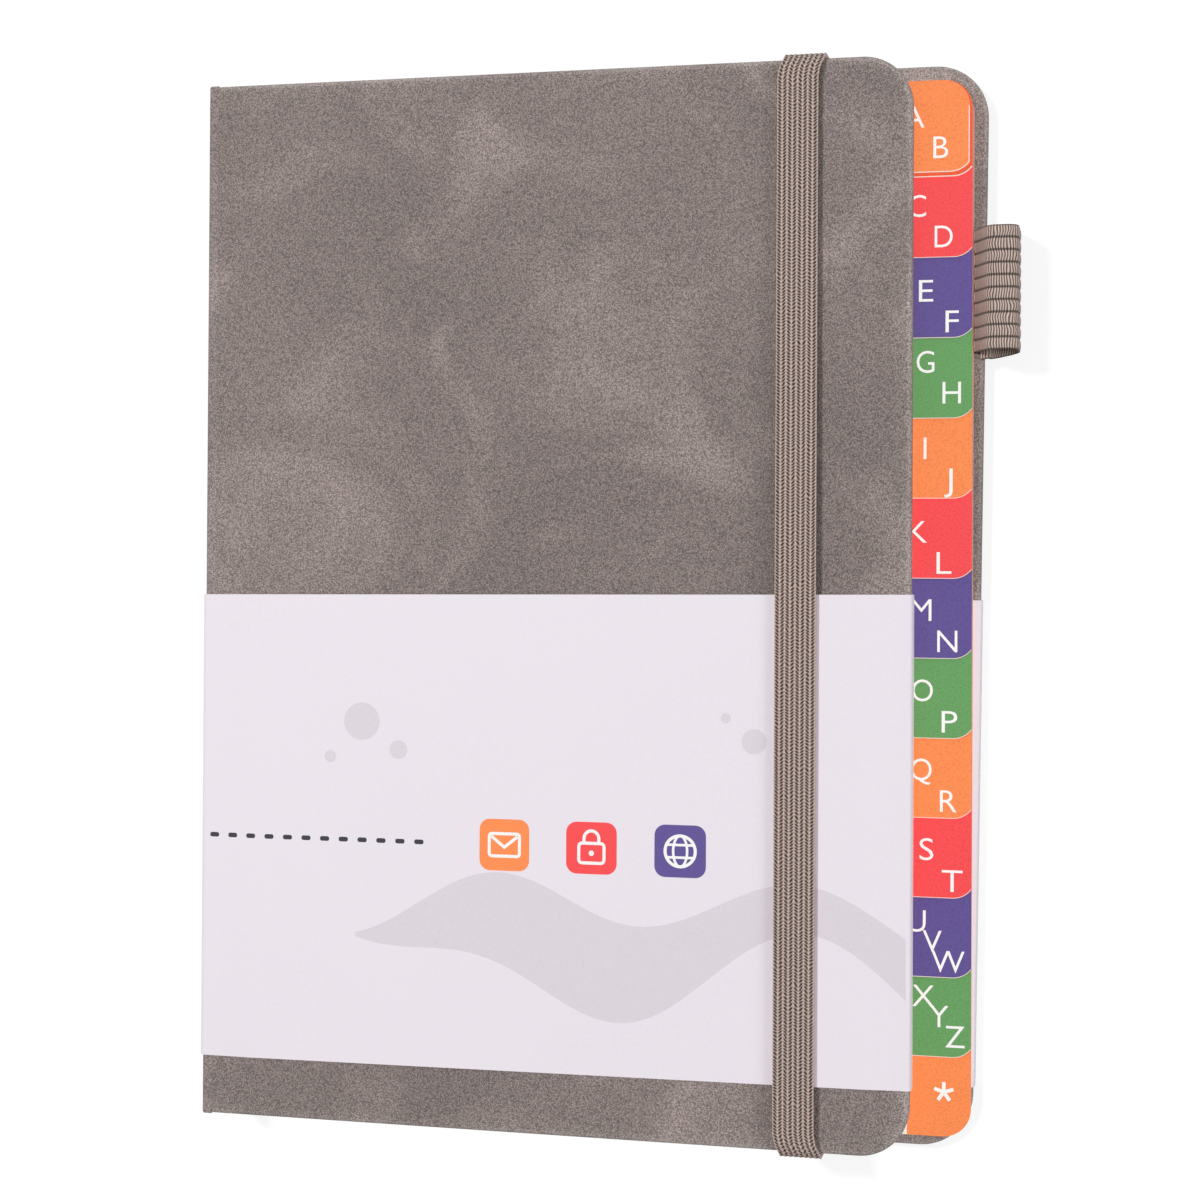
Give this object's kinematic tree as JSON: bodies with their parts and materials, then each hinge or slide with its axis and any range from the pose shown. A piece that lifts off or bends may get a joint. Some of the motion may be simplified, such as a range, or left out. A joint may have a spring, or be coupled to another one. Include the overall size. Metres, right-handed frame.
{
  "type": "address book",
  "caption": "Hardcover address book with stepped index tabs, elastic closing strap, pen loop and a paper belly band; opens at the spine so that its sections fan out.",
  "frame": {"origin": "middle of the box's underside; the book lies closed on its back cover", "axes": "+X from the spine to the fore-edge, +Y from tail to head, +Z from back to front cover"},
  "size_m": [0.1482, 0.1922, 0.0148],
  "materials": {
    "leather": "matte pebbled faux leather, cloudy taupe grey",
    "elastic": "ribbed woven elastic, beige grey",
    "cream_paper": "uncoated cream paper",
    "band_paper": "smooth pale lilac-white paper",
    "grey_board": "plain grey binder's board",
    "tab_orange": "smooth printed tab card",
    "tab_red": "smooth printed tab card",
    "tab_purple": "smooth printed tab card",
    "tab_green": "smooth printed tab card"
  },
  "bodies": {
    "back_cover": {"back_skin": "leather", "back_board": "grey_board", "back_pastedown": "cream_paper", "strap_end_head": "elastic", "strap_end_tail": "elastic", "pen_loop": "elastic", "band_back": "band_paper"},
    "spine": {"spine_skin": "leather", "spine_liner": "grey_board", "band_spine": "band_paper"},
    "front_cover": {"front_skin": "leather", "front_board": "grey_board", "front_pastedown": "cream_paper", "band_front": "band_paper"},
    "rear_leaf": {"rear_flyleaf": "cream_paper"},
    "section_13": {"tab_leaf_13": "tab_orange", "pages_13": "cream_paper"},
    "section_12": {"tab_leaf_12": "tab_green", "pages_12": "cream_paper"},
    "section_11": {"tab_leaf_11": "tab_purple", "pages_11": "cream_paper"},
    "section_10": {"tab_leaf_10": "tab_red", "pages_10": "cream_paper"},
    "section_09": {"tab_leaf_09": "tab_orange", "pages_09": "cream_paper"},
    "section_08": {"tab_leaf_08": "tab_green", "pages_08": "cream_paper"},
    "section_07": {"tab_leaf_07": "tab_purple", "pages_07": "cream_paper"},
    "section_06": {"tab_leaf_06": "tab_red", "pages_06": "cream_paper"},
    "section_05": {"tab_leaf_05": "tab_orange", "pages_05": "cream_paper"},
    "section_04": {"tab_leaf_04": "tab_green", "pages_04": "cream_paper"},
    "section_03": {"tab_leaf_03": "tab_purple", "pages_03": "cream_paper"},
    "section_02": {"tab_leaf_02": "tab_red", "pages_02": "cream_paper"},
    "section_01": {"tab_leaf_01": "tab_orange", "pages_01": "cream_paper"},
    "front_leaves": {"front_pages": "cream_paper"},
    "strap": {"elastic_strap": "elastic"}
  },
  "joints": [
    {"name": "spine_fold", "type": "hinge", "parent": "back_cover", "child": "spine", "pos_m": [-0.07358, 0, 0.00052], "axis": [0, -1, 0], "range_deg": [0, 90]},
    {"name": "front_cover_fold", "type": "hinge", "parent": "spine", "child": "front_cover", "pos_m": [-0.07358, 0, 0.01341], "axis": [0, -1, 0], "range_deg": [0, 90]},
    {"name": "rear_leaf_turn", "type": "hinge", "parent": "back_cover", "child": "rear_leaf", "pos_m": [-0.0715, 0, 0.00385], "axis": [0, -1, 0], "range_deg": [0, 11.72]},
    {"name": "section_13_turn", "type": "hinge", "parent": "rear_leaf", "child": "section_13", "pos_m": [-0.0715, 0, 0.00406], "axis": [0, -1, 0], "range_deg": [0, 11.72]},
    {"name": "section_12_turn", "type": "hinge", "parent": "section_13", "child": "section_12", "pos_m": [-0.0715, 0, 0.0045], "axis": [0, -1, 0], "range_deg": [0, 11.72]},
    {"name": "section_11_turn", "type": "hinge", "parent": "section_12", "child": "section_11", "pos_m": [-0.0715, 0, 0.00494], "axis": [0, -1, 0], "range_deg": [0, 11.72]},
    {"name": "section_10_turn", "type": "hinge", "parent": "section_11", "child": "section_10", "pos_m": [-0.0715, 0, 0.00538], "axis": [0, -1, 0], "range_deg": [0, 11.72]},
    {"name": "section_09_turn", "type": "hinge", "parent": "section_10", "child": "section_09", "pos_m": [-0.0715, 0, 0.00582], "axis": [0, -1, 0], "range_deg": [0, 11.72]},
    {"name": "section_08_turn", "type": "hinge", "parent": "section_09", "child": "section_08", "pos_m": [-0.0715, 0, 0.00626], "axis": [0, -1, 0], "range_deg": [0, 11.72]},
    {"name": "section_07_turn", "type": "hinge", "parent": "section_08", "child": "section_07", "pos_m": [-0.0715, 0, 0.0067], "axis": [0, -1, 0], "range_deg": [0, 11.72]},
    {"name": "section_06_turn", "type": "hinge", "parent": "section_07", "child": "section_06", "pos_m": [-0.0715, 0, 0.00714], "axis": [0, -1, 0], "range_deg": [0, 11.72]},
    {"name": "section_05_turn", "type": "hinge", "parent": "section_06", "child": "section_05", "pos_m": [-0.0715, 0, 0.00758], "axis": [0, -1, 0], "range_deg": [0, 11.72]},
    {"name": "section_04_turn", "type": "hinge", "parent": "section_05", "child": "section_04", "pos_m": [-0.0715, 0, 0.00802], "axis": [0, -1, 0], "range_deg": [0, 11.72]},
    {"name": "section_03_turn", "type": "hinge", "parent": "section_04", "child": "section_03", "pos_m": [-0.0715, 0, 0.00846], "axis": [0, -1, 0], "range_deg": [0, 11.72]},
    {"name": "section_02_turn", "type": "hinge", "parent": "section_03", "child": "section_02", "pos_m": [-0.0715, 0, 0.0089], "axis": [0, -1, 0], "range_deg": [0, 11.72]},
    {"name": "section_01_turn", "type": "hinge", "parent": "section_02", "child": "section_01", "pos_m": [-0.0715, 0, 0.00934], "axis": [0, -1, 0], "range_deg": [0, 11.72]},
    {"name": "front_leaves_turn", "type": "hinge", "parent": "section_01", "child": "front_leaves", "pos_m": [-0.0715, 0, 0.00978], "axis": [0, -1, 0], "range_deg": [0, 11.72]},
    {"name": "strap_swing", "type": "hinge", "parent": "back_cover", "child": "strap", "pos_m": [0.0367, 0, 0.00298], "axis": [0, 1, 0], "range_deg": [0, 180], "deforming": ["elastic_strap"]}
  ],
  "couplings": [
    {"joint": "front_cover_fold", "follows": "spine_fold", "ratio": 1},
    {"joint": "rear_leaf_turn", "follows": "spine_fold", "ratio": 0.12963},
    {"joint": "section_13_turn", "follows": "spine_fold", "ratio": 0.12963},
    {"joint": "section_12_turn", "follows": "spine_fold", "ratio": 0.12963},
    {"joint": "section_11_turn", "follows": "spine_fold", "ratio": 0.12963},
    {"joint": "section_10_turn", "follows": "spine_fold", "ratio": 0.12963},
    {"joint": "section_09_turn", "follows": "spine_fold", "ratio": 0.12963},
    {"joint": "section_08_turn", "follows": "spine_fold", "ratio": 0.12963},
    {"joint": "section_07_turn", "follows": "spine_fold", "ratio": 0.12963},
    {"joint": "section_06_turn", "follows": "spine_fold", "ratio": 0.12963},
    {"joint": "section_05_turn", "follows": "spine_fold", "ratio": 0.12963},
    {"joint": "section_04_turn", "follows": "spine_fold", "ratio": 0.12963},
    {"joint": "section_03_turn", "follows": "spine_fold", "ratio": 0.12963},
    {"joint": "section_02_turn", "follows": "spine_fold", "ratio": 0.12963},
    {"joint": "section_01_turn", "follows": "spine_fold", "ratio": 0.12963},
    {"joint": "front_leaves_turn", "follows": "spine_fold", "ratio": 0.12963},
    {"joint": "strap_swing", "follows": "spine_fold", "ratio": 2}
  ]
}
